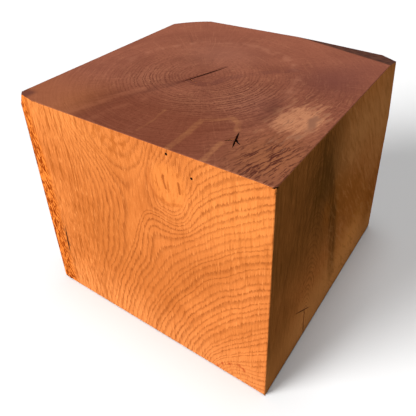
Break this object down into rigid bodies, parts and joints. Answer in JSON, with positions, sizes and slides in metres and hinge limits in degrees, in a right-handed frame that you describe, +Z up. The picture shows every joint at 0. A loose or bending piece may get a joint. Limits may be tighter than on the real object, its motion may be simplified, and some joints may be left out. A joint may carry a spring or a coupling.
{
  "type": "solid oak heart block",
  "caption": "Low square block of solid oak with end grain on top, natural log edges at some corners and drying checks, used as a stool, side table or plinth.",
  "frame": {"origin": "centre of the underside, on the surface the block stands on", "axes": "+Z up along the log, +X towards the right face, -Y towards the front face"},
  "size_m": [0.35, 0.3589, 0.306],
  "materials": {
    "oak": "oiled, satin"
  },
  "bodies": {
    "root": {"oak_block": "oak"}
  },
  "joints": []
}
